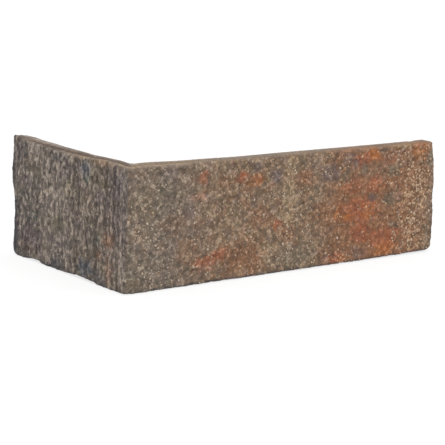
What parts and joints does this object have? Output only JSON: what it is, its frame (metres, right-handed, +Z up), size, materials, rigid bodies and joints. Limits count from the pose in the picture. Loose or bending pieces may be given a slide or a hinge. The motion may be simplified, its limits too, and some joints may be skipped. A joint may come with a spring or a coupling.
{
  "type": "corner brick slip",
  "caption": "Thin L-shaped fired clay brick slip that wraps an outside corner, one brick course high, with worn edges and a plain flat back.",
  "frame": {"origin": "middle of the bounding box, on the bed edge that it stands on", "axes": "+X along the long leg towards its free end, +Y from the long leg's face to its back and along the short leg, +Z up the wall. The long leg's face looks along -Y and the short leg's face along -X."},
  "size_m": [0.24, 0.115, 0.071],
  "materials": {
    "fired_clay": "rough, sanded and flashed in the kiln, grey-brown with orange-red patches"
  },
  "bodies": {
    "root": {"corner_slip": "fired_clay"}
  },
  "joints": []
}
